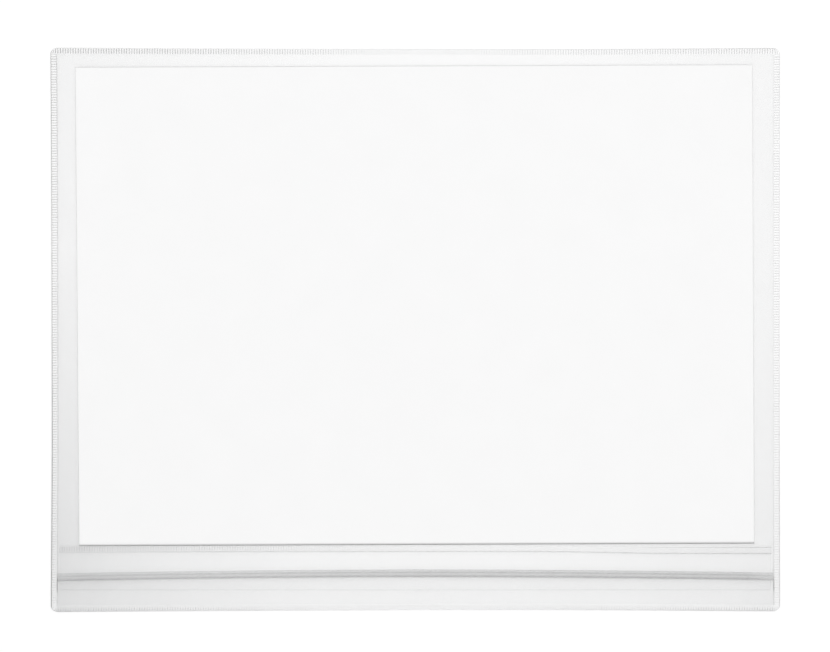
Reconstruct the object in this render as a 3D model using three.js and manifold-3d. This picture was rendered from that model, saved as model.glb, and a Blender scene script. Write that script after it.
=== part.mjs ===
// A clear film document pocket for one landscape A4 sheet. It lies on its back: +X runs along the
// long edge, +Y towards the top edge and +Z out of the front. The origin is at the middle of the
// back face. The front film is welded to the back film round all four edges with ribbed bars. A
// mouth crosses it near the lower edge, and a flap, welded on above the mouth, tucks in behind the
// folded hem of the lip below it.
import * as THREE from "three";
import { mergeVertices } from "three/addons/utils/BufferGeometryUtils.js";
import Module from "manifold-3d";

// The sheet that the pocket is made for, in millimetres.
const sheetWidth = 297;
const sheetHeight = 210;
const sheetThickness = 0.1;
const sheetTurn = 0.22; // degrees that the loose sheet lies out of square

// Films and welds.
const filmThickness = 0.3;
const weldWidth = 2.7;
const weldThickness = 0.15; // what is left of the front film between two ribs
const ribPitch = 1.12;
const ribHeight = 0.26;
const ribFoot = 0.11; // the valleys stand this far clear of the pressed film
const ribMargin = 0.2; // plain film left along both sides of a row of ribs
const ribsInRun = 40; // a row is made of runs of about this many ribs
const runStep = 0.17; // neighbouring runs differ in width, by up to this much on each side
const runLap = 0.04; // each run reaches this far under the next
const cornerRadius = 3;
const innerCornerRadius = 1;

// Room round the sheet, and the closure from the bottom weld upwards.
const sideRoom = 8.8;
const topRoom = 5.1;
const sheetToSeam = 0.9;
const lipHeight = 15.2; // bottom weld to the fold of the hem, at mid-length
const mouthHeight = 7.9;
const mouthEndMargin = 0.3; // flat film left between the ends of the mouth and the rise
const seamMargin = 0.3;
const seamWidth = 2.7;
const seamEndMargin = 0.7; // flat film left between the ends of the seam and the rise
const flapTuck = 9.3; // how far the flap reaches down behind the fold
const flapSideGap = 0.3;
const flapCornerRadius = 2;
const playUnderFlap = 0.3;
const riseRun = 1.2; // the front film lifts off the back film over this width

// The hem of the lip: film folded back on itself round an open loop.
const hemWidth = 3;
const loopRadius = 0.25;
const loopClose = 1.7; // the loop has closed this far below the fold
const hemGap = 0.06;
const hemStart = 1.3; // below the fold, where the hem's film runs on into the lip
const hemThinning = 0.04; // the film is drawn this much thinner where it is folded
const hemEndGap = 0.3; // the hem stops this far short of the ends of the mouth
const lipBow = 1; // the lip stands this much higher at mid-length than at its ends

// Heights above the floor.
const backTop = filmThickness;
const sheetTop = backTop + sheetThickness;
const flapUnder = sheetTop + playUnderFlap;
const frontUnder = flapUnder + filmThickness;
const frontTop = frontUnder + filmThickness;
const rise = frontUnder - backTop;

// Outline, and heights above the pocket's lower edge.
const innerWidth = sheetWidth + 2 * sideRoom;
const pocketWidth = innerWidth + 2 * weldWidth;
const foldHeight = weldWidth + lipHeight;
const seamBottom = foldHeight + mouthHeight + seamMargin;
const seamTop = seamBottom + seamWidth;
const sheetBottom = seamTop + sheetToSeam;
const pocketHeight = sheetBottom + sheetHeight + topRoom + weldWidth;
const up = (height) => height - pocketHeight / 2;

const arcSteps = 3; // facets in a corner of an outline
const riseSteps = 3;
const loopSteps = 5;
const bowSteps = 8;
const bite = 0.05; // a piece that is joined to another starts this far inside it

const wasm = await Module();
wasm.setup();

function solidOf(geometry) {
  const bare = geometry.clone();
  bare.deleteAttribute("normal");
  bare.deleteAttribute("uv");
  const merged = mergeVertices(bare);
  return new wasm.Manifold(
    new wasm.Mesh({
      numProp: 3,
      vertProperties: merged.attributes.position.array,
      triVerts: new Uint32Array(merged.index.array),
    }),
  );
}

function geometryOf(solid) {
  const mesh = solid.getMesh();
  const geometry = new THREE.BufferGeometry();
  geometry.setAttribute("position", new THREE.BufferAttribute(mesh.vertProperties, 3));
  geometry.setIndex(new THREE.BufferAttribute(mesh.triVerts, 1));
  const faceted = geometry.toNonIndexed();
  faceted.computeVertexNormals();
  return faceted;
}

// An S-curve from 0 to 1, level at both ends.
const ease = (t) => (1 - Math.cos(Math.PI * THREE.MathUtils.clamp(t, 0, 1))) / 2;

// How far the lip's fold is above its ends at x.
const bowAt = (x) => lipBow * (1 - (2 * x / innerWidth) ** 2);

function roundedRectangle(width, height, radius) {
  const shape = new THREE.Shape();
  const x = width / 2 - radius;
  const y = height / 2 - radius;
  shape.absarc(x, y, radius, 0, Math.PI / 2);
  shape.absarc(-x, y, radius, Math.PI / 2, Math.PI);
  shape.absarc(-x, -y, radius, Math.PI, 1.5 * Math.PI);
  shape.absarc(x, -y, radius, 1.5 * Math.PI, 2 * Math.PI);
  return shape;
}

// A flat sheet with its underside at z.
function flatSheet(width, height, radius, thickness, z) {
  const options = { depth: thickness, bevelEnabled: false, curveSegments: arcSteps };
  const sheet = new THREE.ExtrudeGeometry(roundedRectangle(width, height, radius), options);
  return sheet.translate(0, 0, z);
}

// The pocket's outline moved in by inset, as a loop of points at height z.
function loopAt(inset, z) {
  const radius = Math.max(cornerRadius - inset, innerCornerRadius);
  const x = pocketWidth / 2 - inset - radius;
  const y = pocketHeight / 2 - inset - radius;
  const centres = [[x, y], [-x, y], [-x, -y], [x, -y]];
  return centres.flatMap(([cx, cy], corner) =>
    Array.from({ length: arcSteps + 1 }, (_, step) => {
      const angle = (corner + step / arcSteps) * (Math.PI / 2);
      return new THREE.Vector3(cx + radius * Math.cos(angle), cy + radius * Math.sin(angle), z);
    }),
  );
}

// A closed skin over loops of equally many points, with a flat cap on the first and the last.
function skin(loops) {
  const count = loops[0].length;
  const cap = THREE.ShapeUtils.triangulateShape(loops[0].map((p) => new THREE.Vector2(p.x, p.y)), []);
  const last = (loops.length - 1) * count;
  const faces = cap.flatMap(([a, b, c]) => [c, b, a, last + a, last + b, last + c]);
  for (let row = 0; row < last; row += count) {
    for (let i = 0; i < count; i += 1) {
      const next = (i + 1) % count;
      faces.push(row + i, row + next, row + count + next);
      faces.push(row + i, row + count + next, row + count + i);
    }
  }
  return new THREE.BufferGeometry().setFromPoints(loops.flat()).setIndex(faces);
}

// The front film before it is cut: pressed thin at the weld, then lifting to its full height.
function raisedFilm() {
  const steps = Array.from({ length: riseSteps + 1 }, (_, i) => i / riseSteps);
  const under = steps.map((t) => loopAt(weldWidth + t * riseRun, backTop + rise * ease(t)));
  const over = steps.map((t) => {
    const thickness = THREE.MathUtils.lerp(weldThickness, filmThickness, ease(t));
    return loopAt(weldWidth + t * riseRun, backTop + rise * ease(t) + thickness);
  });
  const edge = [loopAt(0, backTop), loopAt(0, backTop + weldThickness)];
  return skin([...under.reverse(), ...edge, ...over]);
}

// A run of ribs along X: a strip with a sawtooth top. From and to count pitches from the origin.
function ribRun(from, to, width) {
  const shape = new THREE.Shape();
  shape.moveTo(from * ribPitch, -bite);
  shape.lineTo(to * ribPitch + runLap, -bite);
  shape.lineTo(to * ribPitch + runLap, ribFoot);
  for (let i = to; i > from; i -= 1) {
    shape.lineTo(i * ribPitch, ribFoot);
    shape.lineTo((i - 0.5) * ribPitch, ribHeight);
  }
  shape.lineTo(from * ribPitch, ribFoot);
  const run = new THREE.ExtrudeGeometry(shape, { depth: width, bevelEnabled: false });
  return run.translate(0, 0, -width / 2).rotateX(Math.PI / 2);
}

// The row of ribs in a weld of this length and width, along X and centred on the origin.
function ribRow(length, weld) {
  const ribs = Math.floor(length / ribPitch);
  const runs = Math.ceil(ribs / ribsInRun);
  const stops = Array.from({ length: runs + 1 }, (_, i) => Math.round((i * ribs) / runs) - ribs / 2);
  return stops.slice(1).map((stop, i) => {
    const narrowing = runStep * (0.5 + 0.5 * Math.sin(2.4 * i));
    return ribRun(stops[i], stop, weld - 2 * (ribMargin + narrowing));
  });
}

// The four welds' ribs. The small squares where two rows would cross stay plain.
function edgeRibs() {
  const top = backTop + weldThickness;
  const x = (pocketWidth - weldWidth) / 2;
  const y = (pocketHeight - weldWidth) / 2;
  const long = (side) => ribRow(innerWidth, weldWidth).map((run) => run.translate(0, side * y, top));
  const short = (side) =>
    ribRow(pocketHeight - 2 * weldWidth, weldWidth).map((run) =>
      run.rotateZ(Math.PI / 2).translate(side * x, 0, top),
    );
  return [...long(1), ...long(-1), ...short(1), ...short(-1)];
}

// The outline of a ribbon of film, bent along a line of points.
function ribbon(line, thickness) {
  const side = (sign) => line.map((point, i) => {
    const before = line[Math.max(i - 1, 0)];
    const after = line[Math.min(i + 1, line.length - 1)];
    const along = after.clone().sub(before).normalize();
    const normal = new THREE.Vector2(-along.y, along.x);
    return point.clone().addScaledVector(normal, (sign * thickness) / 2);
  });
  return new THREE.Shape([...side(-1), ...side(1).reverse()]);
}

// The hem's section. X is measured down from the fold and Y up from the underside of the lip.
function hemSection() {
  const middle = filmThickness / 2;
  const bend = loopRadius + middle;
  const outer = loopRadius + filmThickness;
  const closedAt = filmThickness + hemGap + middle;
  const line = [new THREE.Vector2(hemWidth, middle)];
  for (let i = 0; i <= loopSteps; i += 1) {
    const angle = Math.PI * (i / loopSteps);
    line.push(new THREE.Vector2(outer - bend * Math.sin(angle), middle + bend * (1 - Math.cos(angle))));
  }
  for (let i = 1; i <= riseSteps; i += 1) {
    const t = i / riseSteps;
    const height = THREE.MathUtils.lerp(middle + 2 * bend, closedAt, ease(t));
    line.push(new THREE.Vector2(THREE.MathUtils.lerp(outer, loopClose, t), height));
  }
  line.push(new THREE.Vector2(hemWidth, closedAt));
  return ribbon(line, filmThickness - hemThinning);
}

const mouthEnd = innerWidth / 2 - riseRun - mouthEndMargin;
const hemEnd = mouthEnd - hemEndGap;

// The folded hem, carried along the lip's bow.
function hem() {
  const options = { depth: 2 * hemEnd, steps: bowSteps, bevelEnabled: false };
  const geometry = new THREE.ExtrudeGeometry(hemSection(), options);
  const place = geometry.attributes.position;
  for (let i = 0; i < place.count; i += 1) {
    const x = hemEnd - place.getZ(i);
    place.setXYZ(i, x, up(foldHeight) - lipBow + bowAt(x) - place.getX(i), frontUnder + place.getY(i));
  }
  return geometry;
}

// What is cut out of the front film to open the mouth, down to where the hem begins.
function mouthCut() {
  const edge = Array.from({ length: bowSteps + 1 }, (_, i) => hemEnd * ((2 * i) / bowSteps - 1));
  const heights = edge.map((x) => up(foldHeight) - lipBow + bowAt(x) - hemStart);
  const lower = edge.map((x, i) => new THREE.Vector2(x, heights[i]));
  const upper = up(foldHeight + mouthHeight);
  const shape = new THREE.Shape([
    new THREE.Vector2(-mouthEnd, heights[0]),
    ...lower,
    new THREE.Vector2(mouthEnd, heights[0]),
    new THREE.Vector2(mouthEnd, upper),
    new THREE.Vector2(-mouthEnd, upper),
  ]);
  return new THREE.ExtrudeGeometry(shape, { depth: frontTop + bite, bevelEnabled: false });
}

// The seam above the mouth: the front film pressed down, with ribs in the pressed strip.
function seamLength() {
  return innerWidth - 2 * (riseRun + seamEndMargin);
}

function seamTrough() {
  const pressed = filmThickness - weldThickness;
  const trough = new THREE.BoxGeometry(seamLength(), seamWidth, 2 * pressed);
  return trough.translate(0, up((seamBottom + seamTop) / 2), frontTop);
}

function seamRibs() {
  const y = up((seamBottom + seamTop) / 2);
  const row = ribRow(seamLength(), seamWidth);
  return row.map((run) => run.translate(0, y, frontUnder + weldThickness));
}

function frontFilm() {
  const cut = solidOf(raisedFilm()).subtract(solidOf(mouthCut())).subtract(solidOf(seamTrough()));
  const added = [...edgeRibs(), ...seamRibs(), hem()].map(solidOf);
  return geometryOf(added.reduce((whole, piece) => whole.add(piece), cut));
}

function closingFlap() {
  const width = innerWidth - 2 * (riseRun + flapSideGap);
  const top = seamTop + seamMargin;
  const bottom = foldHeight - flapTuck;
  const flap = flatSheet(width, top - bottom, flapCornerRadius, filmThickness, flapUnder);
  return flap.translate(0, up((top + bottom) / 2), 0);
}

const clearFilm = (color) =>
  new THREE.MeshStandardMaterial({ color, roughness: 0.12, metalness: 0, transparent: true, opacity: 0.3 });
const paper = new THREE.MeshStandardMaterial({ color: 0xfafaf8, roughness: 0.85, metalness: 0 });

function mesh(name, geometry, material) {
  const made = new THREE.Mesh(geometry, material);
  made.name = name;
  return made;
}

const backSheet = flatSheet(pocketWidth, pocketHeight, cornerRadius, filmThickness, 0);

const insert = new THREE.BoxGeometry(sheetWidth, sheetHeight, sheetThickness);
const insertSheet = mesh("insert_sheet", insert, paper);
insertSheet.position.set(0, up(sheetBottom + sheetHeight / 2), backTop + sheetThickness / 2);
insertSheet.rotation.z = THREE.MathUtils.degToRad(sheetTurn);

const pocket = new THREE.Group();
pocket.name = "document_pocket";
pocket.add(
  mesh("back_sheet", backSheet, clearFilm(0xe9ecec)),
  insertSheet,
  mesh("closing_flap", closingFlap(), clearFilm(0xeef0f0)),
  mesh("front_sheet", frontFilm(), clearFilm(0xf1f3f3)),
);

export default pocket;
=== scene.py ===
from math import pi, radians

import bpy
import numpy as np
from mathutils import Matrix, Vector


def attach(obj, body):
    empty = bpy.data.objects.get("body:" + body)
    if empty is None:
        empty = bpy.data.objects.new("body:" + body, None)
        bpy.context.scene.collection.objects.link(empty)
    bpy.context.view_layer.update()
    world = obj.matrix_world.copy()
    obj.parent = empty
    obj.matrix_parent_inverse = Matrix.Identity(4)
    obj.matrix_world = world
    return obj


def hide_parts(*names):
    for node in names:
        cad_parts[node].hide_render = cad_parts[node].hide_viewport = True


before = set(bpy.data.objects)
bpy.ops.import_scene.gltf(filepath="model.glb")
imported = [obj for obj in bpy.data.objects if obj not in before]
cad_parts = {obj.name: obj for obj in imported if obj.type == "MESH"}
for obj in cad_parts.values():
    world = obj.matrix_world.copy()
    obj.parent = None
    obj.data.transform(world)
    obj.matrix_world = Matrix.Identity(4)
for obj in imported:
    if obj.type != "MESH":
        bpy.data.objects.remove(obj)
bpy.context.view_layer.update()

# Clear film document pocket with a blank landscape sheet inside, lying on its back film.
# Sizes in the dictionaries are millimetres, apart from those of the looks and the stage, which are
# metres. +X is right, +Y is up the page and +Z comes out of the front.

mm = 0.001
tiny = 0.01  # grid lines nearer than this are the same line

pocket = {
    "width": 320.0,
    "height": 247.5,
    "corner": 3.0,
    "weld": 2.7,
    "pull": (0.55, 0.25, 0.6, 0.6),  # how far the middles of the left, right, top and bottom draw in
    "slant": (0.2, 0.2, 0.3),  # how far the lower left, and the right of the top and bottom, draw in
    "pullRun": 14.0,  # both fade out this far inside the edge
    "ribPitch": 1.12,
}
halfWidth = pocket["width"] / 2
halfHeight = pocket["height"] / 2
innerHalf = halfWidth - pocket["weld"]
innerHeight = halfHeight - pocket["weld"]


# Arrays and meshes

# 0 to 1 with level ends: (1 - cos(pi t)) / 2
def ease(t):
    return (1 - np.cos(pi * np.clip(t, 0, 1))) / 2


# Long soft waves, about -1 to 1: a sum of sines, each with its own length, direction and phase, and
# as high as its length over the longest one
rippleLengths = (150, 90, 60, 41)
rippleSum = 2.2


def ripple(x, y, seed):
    rng = np.random.default_rng(seed)
    total = np.zeros(np.broadcast(x, y).shape)
    for length in rippleLengths:
        turn = rng.uniform(0, 2 * pi)
        phase = rng.uniform(0, 2 * pi)
        along = np.cos(turn) * x + np.sin(turn) * y
        total += np.sin(2 * pi * along / length + phase) * length / rippleLengths[0]
    return total / rippleSum


# Outline: near a corner a unit square is pressed to a quarter disc, u sqrt(1 - v^2/2). The
# middle of each side is drawn in by pull (1 - s^2), and one end of it by slant, with a soft step.
def settle(x, y):
    radius = pocket["corner"]
    u = np.clip((np.abs(x) - halfWidth + radius) / radius, 0, None)
    v = np.clip((np.abs(y) - halfHeight + radius) / radius, 0, None)
    inCorner = (u > 0) & (v > 0)
    newX = np.where(inCorner, halfWidth - radius + radius * u * np.sqrt(1 - v**2 / 2), np.abs(x))
    newY = np.where(inCorner, halfHeight - radius + radius * v * np.sqrt(1 - u**2 / 2), np.abs(y))
    left, right, top, bottom = pocket["pull"]
    lowLeft, rightTop, rightBottom = pocket["slant"]
    s, t = x / halfWidth, y / halfHeight
    nearX = ease((np.abs(x) - halfWidth) / pocket["pullRun"] + 1)
    nearY = ease((np.abs(y) - halfHeight) / pocket["pullRun"] + 1)
    newX = newX - nearX * np.where(x < 0, left, right) * (1 - t**2)
    newX = newX - nearX * np.where(x < 0, lowLeft, 0) * ease((0.1 - t) / 0.6)
    newY = newY - nearY * np.where(y > 0, top, bottom) * (1 - s**2)
    newY = newY - nearY * np.where(y > 0, rightTop, rightBottom) * ease((s + 0.3) / 0.8)
    return np.sign(x) * newX, np.sign(y) * newY


# Grid lines from -half to half: near gives the first distances from each edge, step the rest
def spread(half, near, step):
    rest = np.linspace(near[-1], half, max(2, int(round((half - near[-1]) / step)) + 1))[1:]
    inward = np.concatenate([near, rest])
    return np.unique(np.round(np.concatenate([inward - half, half - inward]), 6))


# Corner numbers of the faces of a grid of points
def gridQuads(rows, columns):
    index = np.arange(rows * columns).reshape(rows, columns)
    return np.stack([index[:-1, :-1], index[:-1, 1:], index[1:, 1:], index[1:, :-1]], axis=-1)


# A sheet with a thickness: the top grid, a copy moved down by thickness, and a rim that joins
# every edge used by one top face only. Rim faces are flagged so that they stay flat shaded.
def sheetParts(x, y, z, thickness, marks, keep=None):
    rows, columns = x.shape
    quads = gridQuads(rows, columns)
    quads = quads.reshape(-1, 4) if keep is None else quads[keep]
    top = np.stack([x, y, z], axis=-1).reshape(-1, 3)
    under = top - np.stack([0 * z, 0 * z, thickness + 0 * z], axis=-1).reshape(-1, 3)
    count = len(top)
    edges = np.concatenate([quads[:, [i, (i + 1) % 4]] for i in range(4)])
    code = edges[:, 0] * count + edges[:, 1]
    back = edges[:, 1] * count + edges[:, 0]
    rim = edges[~np.isin(code, back)]
    walls = np.stack([rim[:, 1], rim[:, 0], rim[:, 0] + count, rim[:, 1] + count], axis=-1)
    values = {key: np.tile(np.broadcast_to(value, x.shape).ravel(), 2) for key, value in marks.items()}
    return np.concatenate([top, under]), [quads, quads[:, ::-1] + count], [walls], values


# A closed profile carried along stations: points is stations x ring x 3, with a flat cap at both ends
def tubeParts(points, marks):
    stations, ring = points.shape[:2]
    index = np.arange(stations * ring).reshape(stations, ring)
    following = np.roll(index, -1, axis=1)
    quads = np.stack([index[:-1], following[:-1], following[1:], index[1:]], axis=-1).reshape(-1, 4)
    caps = np.stack([index[0, ::-1], index[-1]])
    values = {key: np.broadcast_to(value, points.shape[:2]).ravel() for key, value in marks.items()}
    return points.reshape(-1, 3), [quads], [caps], values


# One mesh from parts, unused points dropped, with each mark stored as a number on the points
def makePiece(name, parts, node, material):
    points, loops, sizes, smooth, base = [], [], [], [], 0
    marks = {"edgeMark": [], "tickMark": []}
    for partPoints, softFaces, flatFaces, partMarks in parts:
        points.append(partPoints)
        for faces, soft in [(f, True) for f in softFaces] + [(f, False) for f in flatFaces]:
            loops.append((faces + base).ravel())
            sizes.append(np.full(len(faces), faces.shape[1]))
            smooth.append(np.full(len(faces), soft))
        for key in marks:
            marks[key].append(partMarks.get(key, np.zeros(len(partPoints))))
        base += len(partPoints)
    points, loops = np.concatenate(points), np.concatenate(loops)
    used, loops = np.unique(loops, return_inverse=True)
    sizes = np.concatenate(sizes)
    mesh = bpy.data.meshes.new(name)
    mesh.vertices.add(len(used))
    mesh.vertices.foreach_set("co", (points[used] * mm).astype(np.float32).ravel())
    mesh.loops.add(len(loops))
    mesh.loops.foreach_set("vertex_index", loops.astype(np.int32).ravel())
    mesh.polygons.add(len(sizes))
    mesh.polygons.foreach_set("loop_start", (np.cumsum(sizes) - sizes).astype(np.int32))
    mesh.polygons.foreach_set("use_smooth", np.concatenate(smooth))
    mesh.update(calc_edges=True)
    for key, values in marks.items():
        layer = mesh.attributes.new(key, "FLOAT", "POINT")
        layer.data.foreach_set("value", np.concatenate(values)[used].astype(np.float32))
    mesh.validate()
    mesh.materials.append(material)
    piece = bpy.data.objects.new(name, mesh)
    bpy.context.scene.collection.objects.link(piece)
    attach(piece, "root")
    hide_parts(node)
    print("made", name, len(mesh.vertices), "points", len(sizes), "faces")


# Materials

def addSocket(group, name, kind, way, value=None):
    socket = group.interface.new_socket(name=name, in_out=way, socket_type=kind)
    if value is not None:
        socket.default_value = value


class Nodes:
    # Short calls for building a node tree
    def __init__(self, tree):
        self.tree = tree

    def add(self, kind, values=None, **settings):
        node = self.tree.nodes.new(kind)
        for key, value in settings.items():
            setattr(node, key, value)
        for key, value in (values or {}).items():
            if isinstance(value, bpy.types.NodeSocket):
                self.tree.links.new(value, node.inputs[key])
            else:
                node.inputs[key].default_value = value
        return node

    def math(self, operation, first, second, clamp=False):
        values = {0: first, 1: second}
        return self.add("ShaderNodeMath", values, operation=operation, use_clamp=clamp).outputs[0]

    def plus(self, first, second, clamp=False):
        return self.math("ADD", first, second, clamp)

    def less(self, first, second, clamp=False):
        return self.math("SUBTRACT", first, second, clamp)

    def times(self, first, second, clamp=False):
        return self.math("MULTIPLY", first, second, clamp)

    def link(self, source, target):
        self.tree.links.new(source, target)


# Film haze and painted shade. Outputs how solid the film looks, how dark its colour is and how rough.
# With s = x / halfWidth, the solidness is Clear Haze, the film's own haze, + the side input times
# (s^2 - sideTilt s) + the corner input times low (evenShare + leftShare max(-s, 0)^3 +
# rightShare max(s, 0)^3), and low is clamp((cornerTop - y) / cornerRun). The side and corner terms are
# painted shade, the film darker at the sides and towards the bottom, most at the lower left. Noise
# varies it, and the edge and rib marks stored on the points, painted shade as well, come on top.
hazeAndShadeValues = {
    "cornerTop": 0.035,
    "cornerRun": 0.13,
    "evenShare": 0.2,
    "leftShare": 0.8,
    "rightShare": 0.2,
    "sideTilt": 0.2,
    "cloudScale": 34.0,
    "tickShade": 4.0,
    "roughLeast": 0.05,
    "roughSpread": 0.16,
    "slantBlend": 0.25,
    "slantLeast": 0.03,
    "slantReflection": 0.5,
    "ior": 1.5,
}
hazeAndShadeInputs = ("Clear Haze", "Side Shade", "Corner Shade", "Edge Shade", "Rib Shade", "Cloud")


def makeFilmGroup():
    group = bpy.data.node_groups.new("filmHazeAndShade", "ShaderNodeTree")
    for name in hazeAndShadeInputs:
        addSocket(group, name, "NodeSocketFloat", "INPUT", 0.0)
    for name in ("Haze", "Edge", "Rough"):
        addSocket(group, name, "NodeSocketFloat", "OUTPUT")
    nodes = Nodes(group)
    given = nodes.add("NodeGroupInput").outputs
    place = nodes.add("ShaderNodeTexCoord").outputs["Object"]
    split = nodes.add("ShaderNodeSeparateXYZ", {0: place}).outputs
    # Painted shade: darker towards the bottom and the sides, most at the lower left
    below = nodes.less(hazeAndShadeValues["cornerTop"], split[1])
    low = nodes.math("DIVIDE", below, hazeAndShadeValues["cornerRun"], clamp=True)
    across = nodes.math("DIVIDE", split[0], halfWidth * mm)
    left = nodes.math("POWER", nodes.times(across, -1.0, clamp=True), 3.0)
    right = nodes.math("POWER", nodes.times(across, 1.0, clamp=True), 3.0)
    left = nodes.times(left, hazeAndShadeValues["leftShare"])
    right = nodes.times(right, hazeAndShadeValues["rightShare"])
    corner = nodes.times(low, nodes.plus(nodes.plus(left, right), hazeAndShadeValues["evenShare"]))
    sides = nodes.less(nodes.times(across, across), nodes.times(across, hazeAndShadeValues["sideTilt"]))
    noise = {"Vector": place, "Scale": hazeAndShadeValues["cloudScale"], "Detail": 1.0}
    cloud = nodes.add("ShaderNodeTexNoise", noise).outputs["Fac"]
    cloudy = nodes.plus(nodes.times(nodes.less(cloud, 0.5), given["Cloud"]), 1.0)
    edge = nodes.add("ShaderNodeAttribute", attribute_name="edgeMark").outputs["Fac"]
    tick = nodes.add("ShaderNodeAttribute", attribute_name="tickMark").outputs["Fac"]
    body = nodes.plus(given["Clear Haze"], nodes.times(corner, given["Corner Shade"]))
    body = nodes.times(nodes.plus(body, nodes.times(sides, given["Side Shade"])), cloudy)
    # Painted shade: the rib ticks and edge marks make the film more solid
    body = nodes.plus(body, nodes.times(tick, given["Rib Shade"]))
    body = nodes.plus(body, nodes.times(edge, given["Edge Shade"]), clamp=True)
    shade = nodes.math("MAXIMUM", edge, nodes.times(tick, hazeAndShadeValues["tickShade"]), clamp=True)
    rough = nodes.plus(nodes.times(cloud, hazeAndShadeValues["roughSpread"]), hazeAndShadeValues["roughLeast"])
    out = nodes.add("NodeGroupOutput")
    nodes.link(body, out.inputs["Haze"])
    nodes.link(shade, out.inputs["Edge"])
    nodes.link(rough, out.inputs["Rough"])
    return group


# A film's haze and painted shade are its Alpha. Its outer faces grow more solid at a slant, where
# film mirrors the room, a painted reflection.
def makeFilm(name, look):
    material = bpy.data.materials.new(name)
    material.use_nodes = True
    nodes = Nodes(material.node_tree)
    shader = material.node_tree.nodes["Principled BSDF"]
    hazeAndShade = nodes.add("ShaderNodeGroup", node_tree=filmGroup)
    for key in hazeAndShadeInputs:
        hazeAndShade.inputs[key].default_value = look[key]
    # Painted shade: the edge marks and rib ticks mix the colour towards edgeColour
    factor = {"Factor": hazeAndShade.outputs["Edge"]}
    colour = nodes.add("ShaderNodeMix", factor, data_type="RGBA", clamp_factor=True)
    colour.inputs["A"].default_value = (*look["colour"], 1)
    colour.inputs["B"].default_value = (*look["edgeColour"], 1)
    nodes.link(colour.outputs["Result"], shader.inputs["Base Color"])
    # Painted reflection: the outer faces grow more solid at a slant, where film mirrors the room
    slant = nodes.add("ShaderNodeLayerWeight", {"Blend": hazeAndShadeValues["slantBlend"]}).outputs["Fresnel"]
    slant = nodes.less(slant, hazeAndShadeValues["slantLeast"], clamp=True)
    inner = nodes.add("ShaderNodeNewGeometry").outputs["Backfacing"]
    mirror = nodes.times(nodes.times(slant, hazeAndShadeValues["slantReflection"]), nodes.less(1.0, inner))
    nodes.link(nodes.plus(hazeAndShade.outputs["Haze"], mirror, clamp=True), shader.inputs["Alpha"])
    nodes.link(hazeAndShade.outputs["Rough"], shader.inputs["Roughness"])
    shader.inputs["IOR"].default_value = hazeAndShadeValues["ior"]
    return material


filmGroup = makeFilmGroup()
# The side, corner, edge and rib inputs are painted shade; Clear Haze and Cloud are the film's own
plainLook = {
    "Side Shade": 0.0,
    "Corner Shade": 0.012,
    "Edge Shade": 0.1,
    "Rib Shade": 0.05,
    "Cloud": 0.2,
    "edgeColour": (0.12, 0.122, 0.125),
}
# The back film carries most of the painted shade at the sides and towards the lower left
backLook = {"Clear Haze": 0.03, "Side Shade": 0.033, "Corner Shade": 0.095, "colour": (0.55, 0.555, 0.56)}
frontLook = {"Clear Haze": 0.016, "Rib Shade": 0.3, "colour": (0.8, 0.805, 0.81)}
flapLook = {"Clear Haze": 0.012, "colour": (0.76, 0.765, 0.77)}
backFilm = makeFilm("clearBackFilm", {**plainLook, **backLook})
frontFilm = makeFilm("clearFrontFilm", {**plainLook, **frontLook})
flapFilm = makeFilm("clearFlapFilm", {**plainLook, **flapLook})

paperLook = {
    "greys": (0.94, 0.975),  # darkest and lightest of the fibres
    "edgeShadowGrey": 0.08,
    "fibreScale": 1400.0,
    "cloudScale": 60.0,
    "fibreShare": 0.6,
    "bump": 0.2,
    "bumpDepth": 0.00005,
    "roughness": 0.85,
    "specular": 0.3,
}


def makePaper():
    material = bpy.data.materials.new("plainPaper")
    material.use_nodes = True
    nodes = Nodes(material.node_tree)
    shader = material.node_tree.nodes["Principled BSDF"]
    place = nodes.add("ShaderNodeTexCoord").outputs["Object"]
    fine = {"Vector": place, "Scale": paperLook["fibreScale"], "Detail": 1.0}
    broad = {"Vector": place, "Scale": paperLook["cloudScale"], "Detail": 0.0}
    fibre = nodes.add("ShaderNodeTexNoise", fine).outputs["Fac"]
    cloud = nodes.add("ShaderNodeTexNoise", broad).outputs["Fac"]
    edge = nodes.add("ShaderNodeAttribute", attribute_name="edgeMark").outputs["Fac"]
    share = paperLook["fibreShare"]
    shade = nodes.plus(nodes.times(fibre, share), nodes.times(cloud, 1 - share))
    white = nodes.add("ShaderNodeMix", {"Factor": shade}, data_type="RGBA")
    for socket, grey in zip("AB", paperLook["greys"]):
        white.inputs[socket].default_value = (grey, grey, grey, 1)
    # The edge marks mix in a dark grey: painted shadow lines along the paper's lower and upper edges
    colour = nodes.add("ShaderNodeMix", {"Factor": edge}, data_type="RGBA", clamp_factor=True)
    nodes.link(white.outputs["Result"], colour.inputs["A"])
    colour.inputs["B"].default_value = (*[paperLook["edgeShadowGrey"]] * 3, 1)
    relief = {"Height": fibre, "Strength": paperLook["bump"], "Distance": paperLook["bumpDepth"]}
    bump = nodes.add("ShaderNodeBump", relief)
    nodes.link(colour.outputs["Result"], shader.inputs["Base Color"])
    nodes.link(bump.outputs["Normal"], shader.inputs["Normal"])
    shader.inputs["Roughness"].default_value = paperLook["roughness"]
    shader.inputs["Specular IOR Level"].default_value = paperLook["specular"]
    return material


paperMaterial = makePaper()
print("materials ready")


# Back film: flat on the floor, the full outline

nearEdge = np.array([0, 0.26, 0.55, 0.9, 1.6, 2.3, 2.7, 2.95, 3.2, 3.5, 3.9, 4.4, 5.1, 6.2, 8, 11, 15])
backValues = {
    "thickness": 0.29,
    "step": 8.0,
    "sideWeldMark": -0.55,  # pressed film is clearer at the sides
    "endWeldMark": 0.1,
    "endWeldFade": (0.7, 0.3),  # top and bottom, taken off towards the corners
}
# Strengths of the painted shade line along the cut edge
outlineValues = {
    "left": (2.3, 1.8),  # along the side, and added below the middle
    "right": (0.8, 0.8),
    "top": (0.6, 0.35, 0.3),  # mid-length, added at both ends, and more on the right than the left
    "bottom": (0.1, 1.2),  # mid-length, and added at both ends
}
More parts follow.
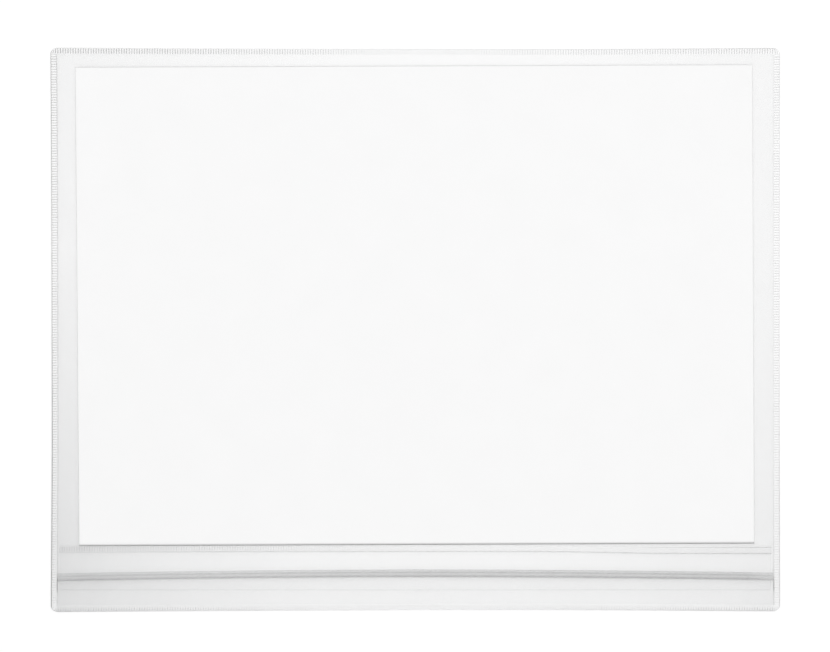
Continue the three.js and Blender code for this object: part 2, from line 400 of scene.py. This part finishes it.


# How dark the cut edge looks, a line of painted shade for the light that the edge bends away, with
# s and t from -1 to 1 across and up: left 2.3 + 1.8 clamp(-2 t),
# right 0.8 + 0.8 max(-t, 0), top 0.6 + 0.35 s^2 + 0.3 s, bottom 0.1 + 1.2 |s|
def outlineMark(x, y):
    s, t = x / halfWidth, y / halfHeight
    left, lowLeft = outlineValues["left"]
    right, lowRight = outlineValues["right"]
    top, topEnds, topTilt = outlineValues["top"]
    bottom, bottomEnds = outlineValues["bottom"]
    onLeft = left + lowLeft * np.clip(-2 * t, 0, 1)
    onRight = right + lowRight * np.clip(-t, 0, 1)
    onTop = top + topEnds * s**2 + topTilt * s
    onBottom = bottom + bottomEnds * np.abs(s)
    side, end = np.where(x < 0, onLeft, onRight), np.where(y > 0, onTop, onBottom)
    atSide, atEnd = np.abs(x) > halfWidth - tiny, np.abs(y) > halfHeight - tiny
    return np.where(atSide, side, np.where(atEnd, end, 0.0))


# The pressed film inside the cut edge: at the sides sideWeldMark, doubled at the lower left, and at
# the top and bottom endWeldMark less endWeldFade s^2
def makeBack():
    step = backValues["step"]
    columns, rows = spread(halfWidth, nearEdge, step), spread(halfHeight, nearEdge, step)
    y, x = np.meshgrid(rows, columns, indexing="ij")
    s, t = x / halfWidth, y / halfHeight
    topFade, bottomFade = backValues["endWeldFade"]
    sideMark = backValues["sideWeldMark"] * (1 + np.clip(-s, 0, 1) * np.clip(-t, 0, 1))
    endMark = backValues["endWeldMark"] - np.where(y > 0, topFade, bottomFade) * s**2
    inSide, inEnd = np.abs(x) > innerHalf + tiny, np.abs(y) > innerHeight + tiny
    mark = np.where(inSide, sideMark, np.where(inEnd, endMark, 0))
    edge = outlineMark(x, y)
    marks = {"edgeMark": np.where(edge == 0, mark, edge)}
    newX, newY = settle(x, y)
    z = np.full(x.shape, backValues["thickness"])
    part = sheetParts(newX, newY, z, backValues["thickness"], marks)
    makePiece("backFilm", [part], "back_sheet", backFilm)


makeBack()


# Sheet of paper: A4 on its side, a little out of square, lifting very slightly in long waves

paperValues = {
    "size": (297.0, 210.0),
    "middle": (-0.2, 10.73),
    "turn": 0.22,
    "under": 0.31,
    "thickness": 0.1,
    "wave": 0.05,
    "waveSeed": 5,
    "near": (0, 0.3, 1.0, 3.0, 6.0),
    "step": 5.0,
    "tuck": 0.9,  # the lower left corner lies this much further in
    "edgeMarks": (1.0, 0.4, 0.3),  # painted shadow lines at the lower edge, the line next to it and the upper edge
}


def makeSheet():
    width, height = paperValues["size"]
    near, step = np.array(paperValues["near"]), paperValues["step"]
    v, u = np.meshgrid(spread(height / 2, near, step), spread(width / 2, near, step), indexing="ij")
    turn = radians(paperValues["turn"])
    tuck = paperValues["tuck"] * np.clip(-u * 2 / width, 0, 1) * np.clip(0.5 - v / height, 0, 1)
    x = paperValues["middle"][0] + u * np.cos(turn) - v * np.sin(turn) + tuck
    y = paperValues["middle"][1] + u * np.sin(turn) + v * np.cos(turn)
    lift = paperValues["wave"] * (1 + ripple(x, y, paperValues["waveSeed"])) / 2
    z = paperValues["under"] + paperValues["thickness"] + np.clip(lift, 0, None)
    # Painted shadow lines: the lower edge, the line next to it and the upper edge
    lowMark, nextMark, topMark = paperValues["edgeMarks"]
    onLow = np.abs(v + height / 2) < tiny
    nextLow = np.abs(v + height / 2 - near[1]) < tiny
    onTop = np.abs(v - height / 2) < tiny
    marks = {"edgeMark": lowMark * onLow + nextMark * nextLow + topMark * onTop}
    part = sheetParts(x, y, z, paperValues["thickness"], marks)
    makePiece("paperSheet", [part], "insert_sheet", paperMaterial)


makeSheet()


# Flap: hangs from the seam above the mouth and tucks in behind the lip

flapValues = {
    "half": 155.8,
    "top": -94.45,
    "bottom": -114.2,
    "under": 0.72,
    "thickness": 0.25,
    "wave": 0.03,
    "waveSeed": 11,
    "near": (0, 0.3, 1.0, 2.5, 5.0),
    "steps": (3.0, 2.0),
    # Painted shade lines at the flap's ends and along its lower edge
    "endMark": 0.6,
    "lowMark": 1.2,
}


def makeFlap():
    near, (stepX, stepY) = np.array(flapValues["near"]), flapValues["steps"]
    middle = (flapValues["top"] + flapValues["bottom"]) / 2
    tall = (flapValues["top"] - flapValues["bottom"]) / 2
    v, x = np.meshgrid(spread(tall, near, stepY), spread(flapValues["half"], near, stepX), indexing="ij")
    y = middle + v
    wave = flapValues["wave"] * ripple(x * 2, y * 3, flapValues["waveSeed"])
    z = flapValues["under"] + flapValues["thickness"] + wave
    # Painted shade lines at the ends and along the lower edge
    onEnd, onLow = np.abs(x) > flapValues["half"] - tiny, y < flapValues["bottom"] + tiny
    mark = np.where(onEnd, flapValues["endMark"], np.where(onLow, flapValues["lowMark"], 0.0))
    part = sheetParts(x, y, z, flapValues["thickness"], {"edgeMark": mark})
    makePiece("closingFlap", [part], "closing_flap", flapFilm)


makeFlap()


# Front film: pressed flat at the welds, rising inside them, with the mouth cut through it

frontValues = {
    "weldTop": 0.45,
    "windowTop": 1.3,
    "riseRun": 1.5,
    "dome": 0.3,
    "domeMiddle": 13.0,
    "domeReach": 111.0,
    "wave": 0.1,
    "waveSeed": 3,
    "calmRun": 25.0,  # the waves die out over this distance from the outline
    "thickness": 0.27,
    "pressedThickness": 0.13,
    "step": 6.0,
    "mouthEnd": 156.7,
    "mouthTop": -97.55,
    "mouthBelowFold": 1.2,  # the mouth is cut this far below the fold, under the hem
    "fold": -106.5,  # fold of the hem at its right end
    "leftDrop": 0.35,  # and this much lower at its left end
    "bow": 1.4,  # the fold is this much higher at mid-length
    "bowRun": (-118.0, 10.0),  # rows above this height follow the bow, in full after this distance
    "lipRows": (-115.5, -113.6, -111.8, -110.4, -109.4),
    "seamRows": (-93.0, -90.0),  # rows above the seam's own
    "windowRows": (-84.0, 6.0, 32),  # from, distance below the top rows, number
    "seam": (-97.15, -94.55),
    "seamSide": 0.4,  # width of the slopes along the seam
    "seamEnd": 0.8,
    "seamDrop": 0.9,  # how far the seam comes down towards its right end
    "seamLeftDrop": 0.5,
    "seamDip": 0.12,
}
# Strengths of the painted shade lines and creases, and of the clearer pressed film and darker lip
lineValues = {
    "weld": 1.15,
    "mouth": 1.0,
    "seam": 2.0,
    "pressed": -0.1,  # the pressed film is clearer
    "lip": 0.22,  # and the lip a little darker
    "crease": 3.2,  # where the fold of the hem runs into the side welds
    "lowCrease": (-112.15, 3.4),  # height and half length
    "highCrease": (-104.05, 1.3),  # on the right only
}


# How far the lip rises at x, from its right end: bow (1 - s^2) less leftDrop max(-s, 0)
def lipRise(x):
    s = x / innerHalf
    return frontValues["bow"] * (1 - s**2) - frontValues["leftDrop"] * np.clip(-s, 0, 1)


def foldAt(x):
    return frontValues["fold"] + lipRise(x)


# How far the seam and the top of the mouth come down at x: seamDrop ease((s - 0.3) / 0.45) on the
# right, and seamLeftDrop max(-s - 0.4, 0) on the left
def seamFall(x):
    s = x / innerHalf
    right = frontValues["seamDrop"] * ease((s - 0.3) / 0.45)
    return right + frontValues["seamLeftDrop"] * np.clip(-s - 0.4, 0, 1)


# Height of the film's top face: pressed at the weld, an S-curve up over riseRun, then a low dome
# sqrt((1 - s^2)(1 - t^2)) and long waves that die out near the outline, and a dip along the seam
def filmTop(x, y):
    inX = ease((innerHalf - np.abs(x)) / frontValues["riseRun"])
    inY = ease((innerHeight - np.abs(y)) / frontValues["riseRun"])
    up = inX * inY
    s, t = x / innerHalf, (y - frontValues["domeMiddle"]) / frontValues["domeReach"]
    dome = frontValues["dome"] * np.sqrt(np.clip(1 - s**2, 0, 1) * np.clip(1 - t**2, 0, 1))
    run, side = frontValues["calmRun"], frontValues["seamSide"]
    calm = ease((innerHalf - np.abs(x)) / run) * ease((halfHeight - np.abs(y)) / run)
    wave = calm * frontValues["wave"] * ripple(x, y, frontValues["waveSeed"])
    lowSeam, highSeam = frontValues["seam"]
    dip = frontValues["seamDip"] * ease((y - lowSeam) / side + 1) * ease((highSeam - y) / side + 1)
    rise = frontValues["windowTop"] - frontValues["weldTop"]
    return frontValues["weldTop"] + up * (rise + dome + wave - dip)


# Edge marks of the film at grid points x, y: the outline, clearer pressed film, a darker lip, and
# lines along the inner weld, the mouth and the seam. The outline, the lines and the creases are painted
# shade where the film's slopes and folds bend light away. With s and t from -1 to 1 across and up, the
# weld line is 1 + 0.3 t on the left and 0.5 + 0.6 max(-t, 0)^3 on the right, the seam's lower line
# 1 - 0.6 max(-s, 0)^2 + 0.4 max(s, 0)^2 and its upper line max(s, 0)^2. A crease is exp(-d^4).
def filmMarks(x, y, pressed, cut):
    s, t = x / halfWidth, y / halfHeight
    left, right = np.clip(-s, 0, 1), np.clip(s, 0, 1)
    edge = outlineMark(x, y)
    edge = np.where((edge == 0) & pressed, lineValues["pressed"], edge)
    edge = np.where((edge == 0) & (y < cut + 2) & ~pressed, lineValues["lip"], edge)
    onWeld = (np.abs(np.abs(x) - innerHalf) < tiny) & (np.abs(y) < innerHeight)
    weldLine = np.where(x < 0, 1 + 0.3 * t, 0.5 + 0.6 * np.clip(-t, 0, 1) ** 3)
    edge = np.maximum(edge, lineValues["weld"] * weldLine * onWeld)
    (low, lowHalf), (high, highHalf) = lineValues["lowCrease"], lineValues["highCrease"]
    crease = np.exp(-(((y - low) / lowHalf) ** 4)) + (x > 0) * np.exp(-(((y - high) / highHalf) ** 4))
    edge = np.maximum(edge, lineValues["crease"] * crease * onWeld)
    onMouth = (np.abs(y - frontValues["mouthTop"]) < tiny) & (np.abs(x) < frontValues["mouthEnd"])
    edge = np.maximum(edge, lineValues["mouth"] * onMouth)
    lowSeam, highSeam = frontValues["seam"]
    alongSeam = np.abs(x) < innerHalf - frontValues["seamEnd"]
    inSeam = (y > lowSeam + tiny) & (y < highSeam - tiny) & alongSeam
    edge = np.where(inSeam, lineValues["pressed"], edge)
    onLow, onHigh = (np.abs(y - lowSeam) < tiny) & alongSeam, (np.abs(y - highSeam) < tiny) & alongSeam
    edge = np.maximum(edge, lineValues["seam"] * (1 - 0.6 * left**2 + 0.4 * right**2) * onLow)
    return np.maximum(edge, lineValues["seam"] * right**2 * onHigh)


def filmPart():
    cut, top = frontValues["fold"] - frontValues["mouthBelowFold"], frontValues["mouthTop"]
    lowSeam, highSeam = frontValues["seam"]
    topRows = halfHeight - nearEdge[::-1]
    start, gap, count = frontValues["windowRows"]
    below = np.concatenate([nearEdge[nearEdge < 6.5] - halfHeight, frontValues["lipRows"]])
    seamRows = [lowSeam - 0.2, lowSeam, lowSeam + 0.2, highSeam - 0.2, highSeam, highSeam + 0.2]
    seamRows += [highSeam + 0.6, *frontValues["seamRows"]]
    window = np.linspace(start, topRows[0] - gap, count)
    rows = np.concatenate([below, [cut, top], seamRows, window, topRows])
    y, x = np.meshgrid(rows, spread(halfWidth, nearEdge, frontValues["step"]), indexing="ij")
    bowStart, bowRun = frontValues["bowRun"]
    y = y + ease((y - bowStart) / bowRun) * (y < cut + tiny) * lipRise(x)
    nearSeam = (y > top - 0.1) & (y < highSeam + 0.7)
    newX, newY = settle(x, y)
    newY = newY - nearSeam * seamFall(x)
    z = filmTop(x, y)
    pressed = z < frontValues["weldTop"] + 0.02
    thickness = np.where(pressed, frontValues["pressedThickness"], frontValues["thickness"])
    keep = np.ones((len(rows) - 1, x.shape[1] - 1), dtype=bool)
    middles = (x[0, :-1] + x[0, 1:]) / 2
    keep[len(below), np.abs(middles) < frontValues["mouthEnd"]] = False
    marks = {"edgeMark": filmMarks(x, y, pressed, cut)}
    return sheetParts(newX, newY, z, thickness, marks, keep)


ribValues = {
    "margin": 0.25,
    "foot": 0.03,
    "height": 0.19,
    "shoulder": 0.3,
    "shoulderLift": 0.15,
    "sink": 0.06,  # the strip's lower corners reach this far into the film
    "round": 0.8,
    "tickSharpness": 4.6,
    "steps": (0, 0.1, 0.22, 0.5, 0.78, 0.9),  # points along one pitch
}


# Ribs: a strip from start to end, with teeth foot + height (1 - |cos(pi s)|^round) high, where s
# counts the pitches, and with shoulders that fall to the film at both sides. The valleys carry a
# dark tick of painted shade, clamp(1 - tickSharpness d) at d pitches from the valley, times how
# strongly ticks show there, on the part of the width that tickBand gives, from the strip's right-hand side.
def ribPart(start, end, width, base, showing, tickBand=(0, 1), fall=None):
    start, end = np.array(start, float), np.array(end, float)
    length = np.linalg.norm(end - start)
    along = (end - start) / length
    side = np.array([-along[1], along[0]])
    pitch = pocket["ribPitch"]
    ribs = int(length // pitch)
    s = np.append((np.arange(ribs)[:, None] + np.array(ribValues["steps"])).ravel(), ribs)
    place = s * pitch + (length - ribs * pitch) / 2
    tooth = 1 - np.abs(np.cos(pi * s)) ** ribValues["round"]
    height = ribValues["foot"] + ribValues["height"] * tooth
    half, shoulder = width / 2 - ribValues["margin"], ribValues["shoulder"]
    across = np.array([-half, -half, -half + shoulder, half - shoulder, half, half])
    lift = np.array([0, ribValues["shoulderLift"], 1, 1, ribValues["shoulderLift"], 0])
    floor = np.array([-ribValues["sink"], 0, 0, 0, 0, -ribValues["sink"]])
    flat = start + place[:, None, None] * along + across[None, :, None] * side
    newX, newY = settle(flat[..., 0], flat[..., 1])
    if fall:
        newY = newY - fall(newX)
    z = base + floor[None, :] + lift[None, :] * height[:, None]
    points = np.stack([newX, newY, z], axis=-1)[:, ::-1]
    # Painted shade ticks in the valleys
    pulse = np.clip(1 - ribValues["tickSharpness"] * np.abs(s - np.round(s)), 0, 1)
    pulse = pulse * showing(place / length * 2 - 1)
    share = (across + half) / (2 * half)
    band = (share >= tickBand[0] - tiny) & (share <= tickBand[1] + tiny)
    tick = (pulse[:, None] * band[None, :])[:, ::-1]
    return tubeParts(points, {"tickMark": tick, "edgeMark": lineValues["pressed"] + 0 * z})


hemValues = {
    "width": 3.3,
    "overlap": 0.4,  # the lower layer runs on this much further than the upper one
    "top": 2.04,
    "endGap": 0.3,
    "stations": 160,
    "nose": 0.5,  # how far the half-round nose reaches
    # The marks are painted shade along the hem's layers, its nose and its edge
    "upper": ((1.2, 0.75, 1.2), (2.0, 0.35, 0.4)),  # distance, rise and mark of the upper layer
    "last": (0.15, 1.8),  # rise and mark at the hem's own edge
    "lowerMark": 0.6,
    "noseMark": 0.9,
    "waveSeeds": (7, 9),
    "least": 0.08,
}


# Hem: film folded back on itself. The section is a flat lower layer, a half-round nose at the
# fold and an upper layer that comes down on the lower one. Its openness along the lip is
# 0.5 + 0.25 and 0.1 times two waves. The marks are painted shade along the layers, the nose and
# the hem's edge, and fade towards the left and near both ends.
def hemPart():
    reach, t, width = innerHalf - hemValues["endGap"], frontValues["thickness"], hemValues["width"]
    stations = np.linspace(-reach, reach, hemValues["stations"])
    least = backValues["thickness"] + 0.01
    lowZ = np.maximum(filmTop(stations, foldAt(stations) - 3) - t, least)
    longSeed, shortSeed = hemValues["waveSeeds"]
    level = 0 * stations
    waves = 0.25 * ripple(stations * 1.5, level, longSeed) + 0.1 * ripple(stations * 5, level, shortSeed)
    room = hemValues["top"] - 2 * t - 0.02 - np.max(lowZ)
    loop = np.clip(room * (0.55 + 0.45 * (0.5 + waves)), hemValues["least"], room)
    turn = np.linspace(0, pi, 9)
    (downA, riseA, markA), (downB, riseB, markB) = hemValues["upper"]
    lastRise, lastMark = hemValues["last"]
    nose = hemValues["nose"]
    lower = width + hemValues["overlap"]
    down = np.concatenate([[lower], nose - nose * np.sin(turn), [downA, downB, width]])
    rise = np.concatenate([[0], 0.5 - 0.5 * np.cos(turn), [riseA, riseB, lastRise]])
    middle = t / 2 + rise[None, :] * (loop[:, None] + t)
    tangentX, tangentZ = np.gradient(down)[None, :], np.gradient(middle, axis=1)
    size = np.sqrt(tangentX**2 + tangentZ**2)
    offX, offZ = tangentZ / size * t / 2, -tangentX / size * t / 2
    outX = np.concatenate([down[None, :] + offX, (down[None, :] - offX)[:, ::-1]], axis=1)
    outZ = np.concatenate([middle + offZ, (middle - offZ)[:, ::-1]], axis=1)
    x = np.broadcast_to(stations[:, None], outX.shape)
    y = foldAt(stations)[:, None] - np.clip(outX, 0.02, None)
    z = lowZ[:, None] + 0.01 + outZ
    low = hemValues["lowerMark"]
    # Painted shade on the points of the section, strongest at the nose
    dark = np.concatenate([[low], low + hemValues["noseMark"] * np.sin(turn) ** 2, [markA, markB, lastMark]])
    strength = 0.7 + 0.18 * np.clip(x / halfWidth + 1, 0, 1)
    strength = strength * (0.75 + 0.25 * ease((157 - np.abs(x)) / 12))
    mark = np.concatenate([dark, dark[::-1]])[None, :] * strength
    return tubeParts(np.stack([x, y, z], axis=-1), {"edgeMark": mark})


# Each row of ribs has its ends, width, height, how strongly its ticks show at s from -1 to 1 along
# it, the part of its width that has ticks, and how far it is moved down
def makeFront():
    inset, weld, base = pocket["weld"] / 2, pocket["weld"], frontValues["weldTop"]
    endX, rowX, rowY = halfWidth - 0.5, halfWidth - inset, halfHeight - inset
    seamX, seamY = innerHalf - frontValues["seamEnd"], sum(frontValues["seam"]) / 2
    seamBase = frontValues["windowTop"] - frontValues["seamDip"] + 0.02
    full, outer = (0, 1), (0, 0.5)
    top = (lambda s: np.abs(s) - 0.25 * s, full, None)
    bottom = (lambda s: 0.15 + 0.6 * np.abs(s), outer, None)
    right = (lambda s: 0.35 + 0.15 * s, full, None)
    left = (lambda s: 0.45 + 0.2 * s, full, None)
    seam = (lambda s: 0.5 * np.clip(-s, 0, 1) ** 0.7, full, seamFall)
    parts = [
        filmPart(),
        hemPart(),
        ribPart((-endX, rowY), (endX, rowY), weld, base, *top),
        ribPart((-endX, -rowY), (endX, -rowY), weld, base, *bottom),
        ribPart((rowX, -innerHeight), (rowX, innerHeight), weld, base, *right),
        ribPart((-rowX, -innerHeight), (-rowX, innerHeight), weld, base, *left),
        ribPart((-seamX, seamY), (seamX, seamY), weld - 0.3, seamBase, *seam),
    ]
    makePiece("frontFilm", parts, "front_sheet", frontFilm)


makeFront()


# Floor, light and camera

stageValues = {
    "floorColour": (0.9, 0.9, 0.9),
    "floorGlow": 0.13,
    "worldLevel": 0.8,
    "lampPower": 11.0,
    "lampSize": 2.0,
    "lampPlace": (0.2, 0.5, 1.9),
    "cameraHeight": 1.7,
    "cameraAim": (-0.0001, 0.00165),
    "sensor": 36.0,
    "clipStart": 0.01,
    "frameWidth": 0.3642,
    "floorSize": 4.0,
    "floorLevel": -0.00002,
    "transparentBounces": 32,  # light has to pass many layers of film
}


def makeStage():
    mesh = bpy.data.meshes.new("floor")
    size, level = stageValues["floorSize"], stageValues["floorLevel"]
    corners = [(-size, -size, level), (size, -size, level), (size, size, level), (-size, size, level)]
    mesh.from_pydata(corners, [], [(0, 1, 2, 3)])
    floor = bpy.data.objects.new("floor", mesh)
    bpy.context.scene.collection.objects.link(floor)
    material = bpy.data.materials.new("paleFloor")
    material.use_nodes = True
    tree = material.node_tree
    tree.nodes.clear()
    nodes = Nodes(tree)
    diffuse = nodes.add("ShaderNodeBsdfDiffuse", {"Color": (*stageValues["floorColour"], 1)})
    rays = nodes.add("ShaderNodeLightPath").outputs
    mirrored = nodes.math("MAXIMUM", rays["Is Glossy Ray"], rays["Is Transmission Ray"])
    seen = nodes.math("MAXIMUM", rays["Is Camera Ray"], mirrored)
    glow = nodes.add("ShaderNodeEmission", {"Strength": nodes.times(seen, stageValues["floorGlow"])})
    both = nodes.add("ShaderNodeAddShader", {0: diffuse.outputs[0], 1: glow.outputs[0]})
    out = nodes.add("ShaderNodeOutputMaterial")
    nodes.link(both.outputs[0], out.inputs["Surface"])
    mesh.materials.append(material)


def makeLight():
    world = bpy.data.worlds.new("softRoom")
    world.use_nodes = True
    bpy.context.scene.world = world
    nodes = Nodes(world.node_tree)
    world.node_tree.nodes.clear()
    seen = nodes.add("ShaderNodeLightPath").outputs["Is Camera Ray"]
    dim = stageValues["worldLevel"]
    level = nodes.plus(nodes.times(seen, 1 - dim), dim)
    background = nodes.add("ShaderNodeBackground", {"Color": (1, 1, 1, 1), "Strength": level})
    out = nodes.add("ShaderNodeOutputWorld")
    nodes.link(background.outputs[0], out.inputs["Surface"])
    lamp = bpy.data.lights.new("softBox", "AREA")
    lamp.shape = "SQUARE"
    lamp.size = stageValues["lampSize"]
    lamp.energy = stageValues["lampPower"]
    holder = bpy.data.objects.new("softBox", lamp)
    holder.location = stageValues["lampPlace"]
    holder.rotation_euler = Vector(stageValues["lampPlace"]).to_track_quat("Z", "Y").to_euler()
    bpy.context.scene.collection.objects.link(holder)


def makeCamera():
    camera = bpy.data.cameras.new("camera")
    camera.sensor_width = stageValues["sensor"]
    height = stageValues["cameraHeight"]
    camera.lens = stageValues["sensor"] * height / stageValues["frameWidth"]
    camera.clip_start = stageValues["clipStart"]
    holder = bpy.data.objects.new("camera", camera)
    holder.location = (*stageValues["cameraAim"], height)
    bpy.context.scene.collection.objects.link(holder)
    bpy.context.scene.camera = holder


makeStage()
makeLight()
makeCamera()
bpy.context.scene.view_settings.view_transform = "Standard"
bpy.context.scene.cycles.transparent_max_bounces = stageValues["transparentBounces"]
print("stage ready")

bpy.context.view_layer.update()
